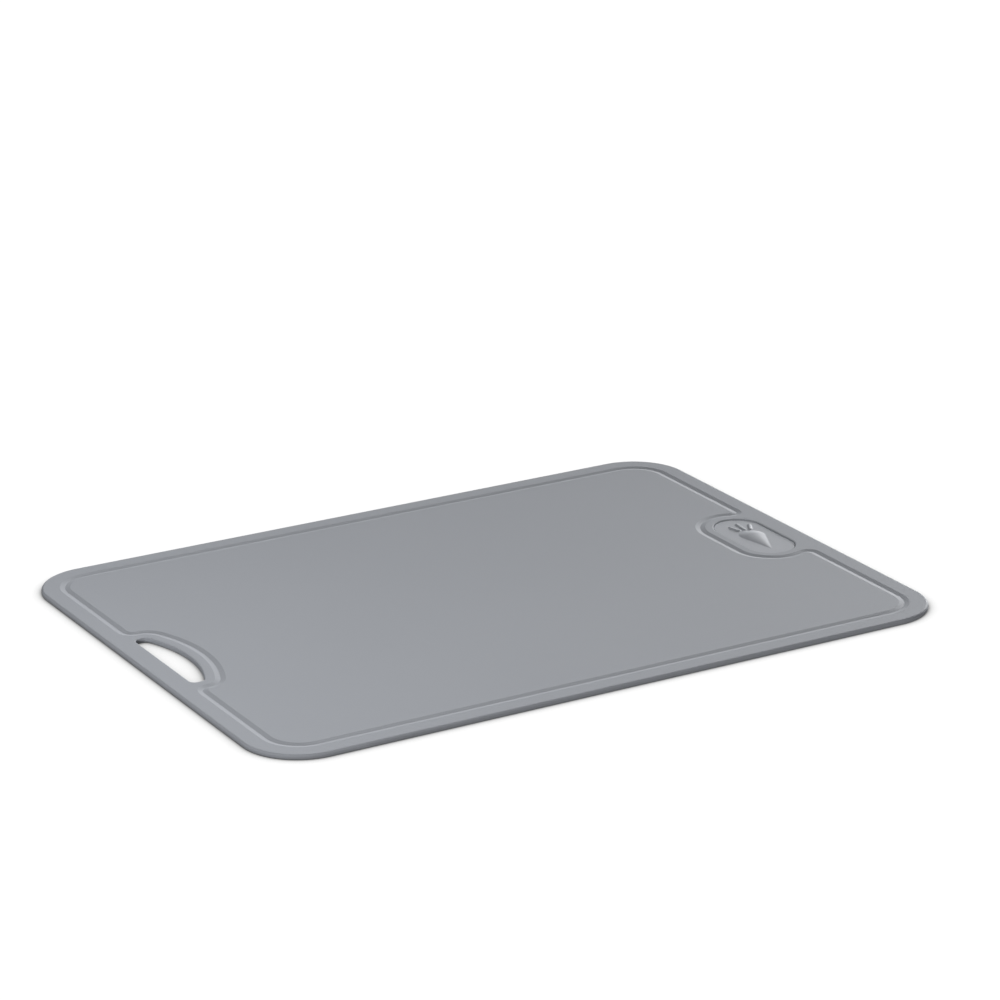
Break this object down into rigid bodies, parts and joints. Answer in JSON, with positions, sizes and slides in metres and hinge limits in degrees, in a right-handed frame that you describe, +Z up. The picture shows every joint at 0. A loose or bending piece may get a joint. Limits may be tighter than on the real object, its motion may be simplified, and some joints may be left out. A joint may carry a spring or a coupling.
{
  "type": "flexible cutting mat",
  "caption": "Thin flexible cutting mat with rounded corners, a juice groove all round, a D-shaped handle slot and an oval food badge; its long sides curl up into a chute.",
  "frame": {"origin": "middle of the underside, which lies on the worktop", "axes": "+X along the mat, from the handle slot towards the food badge; +Y across the mat, towards its back long side; +Z up, out of the cutting face"},
  "size_m": [0.38, 0.28, 0.0029],
  "materials": {
    "sheet": "satin grey flexible plastic, a thermoplastic polyurethane or soft polypropylene",
    "badge": "the same grey plastic, smoother"
  },
  "bodies": {
    "centre_panel": {"centre_panel": "sheet", "food_badge": "badge"},
    "back_strip_1": {"back_strip_1": "sheet"},
    "back_strip_2": {"back_strip_2": "sheet"},
    "back_strip_3": {"back_strip_3": "sheet"},
    "back_strip_4": {"back_strip_4": "sheet"},
    "back_edge": {"back_edge": "sheet"},
    "front_strip_1": {"front_strip_1": "sheet"},
    "front_strip_2": {"front_strip_2": "sheet"},
    "front_strip_3": {"front_strip_3": "sheet"},
    "front_strip_4": {"front_strip_4": "sheet"},
    "front_edge": {"front_edge": "sheet"}
  },
  "joints": [
    {"name": "back_curl", "type": "hinge", "parent": "centre_panel", "child": "back_strip_1", "pos_m": [0, 0.052, 0.0025], "axis": [1, 0, 0], "range_deg": [0, 16], "stiffness_Nm_per_rad": 2},
    {"name": "back_curl_2", "type": "hinge", "parent": "back_strip_1", "child": "back_strip_2", "pos_m": [0, 0.066, 0.0025], "axis": [1, 0, 0], "range_deg": [0, 16], "stiffness_Nm_per_rad": 2},
    {"name": "back_curl_3", "type": "hinge", "parent": "back_strip_2", "child": "back_strip_3", "pos_m": [0, 0.08, 0.0025], "axis": [1, 0, 0], "range_deg": [0, 16], "stiffness_Nm_per_rad": 2},
    {"name": "back_curl_4", "type": "hinge", "parent": "back_strip_3", "child": "back_strip_4", "pos_m": [0, 0.094, 0.0025], "axis": [1, 0, 0], "range_deg": [0, 16], "stiffness_Nm_per_rad": 2},
    {"name": "back_curl_5", "type": "hinge", "parent": "back_strip_4", "child": "back_edge", "pos_m": [0, 0.108, 0.0025], "axis": [1, 0, 0], "range_deg": [0, 16], "stiffness_Nm_per_rad": 2},
    {"name": "front_curl", "type": "hinge", "parent": "centre_panel", "child": "front_strip_1", "pos_m": [0, -0.052, 0.0025], "axis": [-1, 0, 0], "range_deg": [0, 16], "stiffness_Nm_per_rad": 2},
    {"name": "front_curl_2", "type": "hinge", "parent": "front_strip_1", "child": "front_strip_2", "pos_m": [0, -0.066, 0.0025], "axis": [-1, 0, 0], "range_deg": [0, 16], "stiffness_Nm_per_rad": 2},
    {"name": "front_curl_3", "type": "hinge", "parent": "front_strip_2", "child": "front_strip_3", "pos_m": [0, -0.08, 0.0025], "axis": [-1, 0, 0], "range_deg": [0, 16], "stiffness_Nm_per_rad": 2},
    {"name": "front_curl_4", "type": "hinge", "parent": "front_strip_3", "child": "front_strip_4", "pos_m": [0, -0.094, 0.0025], "axis": [-1, 0, 0], "range_deg": [0, 16], "stiffness_Nm_per_rad": 2},
    {"name": "front_curl_5", "type": "hinge", "parent": "front_strip_4", "child": "front_edge", "pos_m": [0, -0.108, 0.0025], "axis": [-1, 0, 0], "range_deg": [0, 16], "stiffness_Nm_per_rad": 2}
  ],
  "couplings": [
    {"joint": "back_curl_2", "follows": "back_curl", "ratio": 1},
    {"joint": "back_curl_3", "follows": "back_curl", "ratio": 1},
    {"joint": "back_curl_4", "follows": "back_curl", "ratio": 1},
    {"joint": "back_curl_5", "follows": "back_curl", "ratio": 1},
    {"joint": "front_curl_2", "follows": "front_curl", "ratio": 1},
    {"joint": "front_curl_3", "follows": "front_curl", "ratio": 1},
    {"joint": "front_curl_4", "follows": "front_curl", "ratio": 1},
    {"joint": "front_curl_5", "follows": "front_curl", "ratio": 1}
  ]
}
